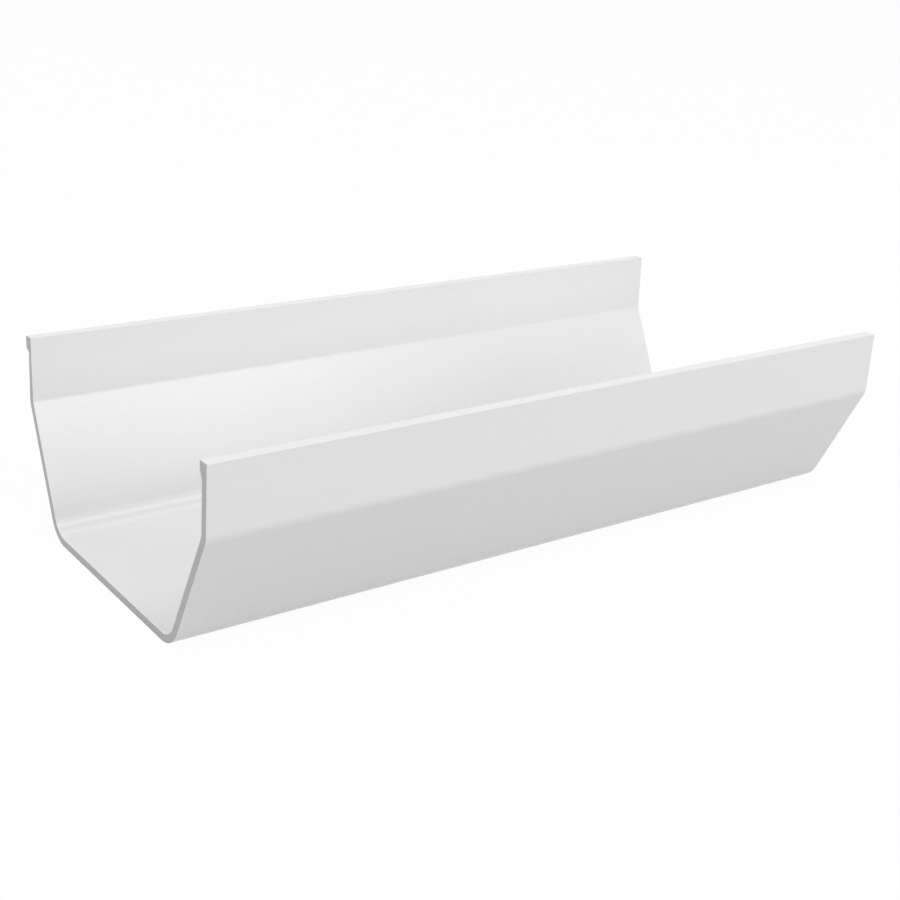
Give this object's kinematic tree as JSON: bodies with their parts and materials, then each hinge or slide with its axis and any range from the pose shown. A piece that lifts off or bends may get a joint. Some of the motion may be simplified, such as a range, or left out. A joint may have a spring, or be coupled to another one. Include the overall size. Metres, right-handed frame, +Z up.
{
  "type": "gutter section",
  "caption": "Open rainwater channel with a flat base, sloping lower walls, upright upper walls and a small bead along each rim, sawn square at both ends.",
  "frame": {"origin": "centre of the flat underside of the base, midway between the two sawn ends", "axes": "+X along the gutter, -Y towards the front wall, +Y towards the back wall that faces the fascia board, +Z up"},
  "size_m": [0.25, 0.1159, 0.059],
  "materials": {
    "white_pvc": "extruded rigid PVC, white, satin gloss, with sawn ends"
  },
  "bodies": {
    "root": {"gutter_section": "white_pvc"}
  },
  "joints": []
}
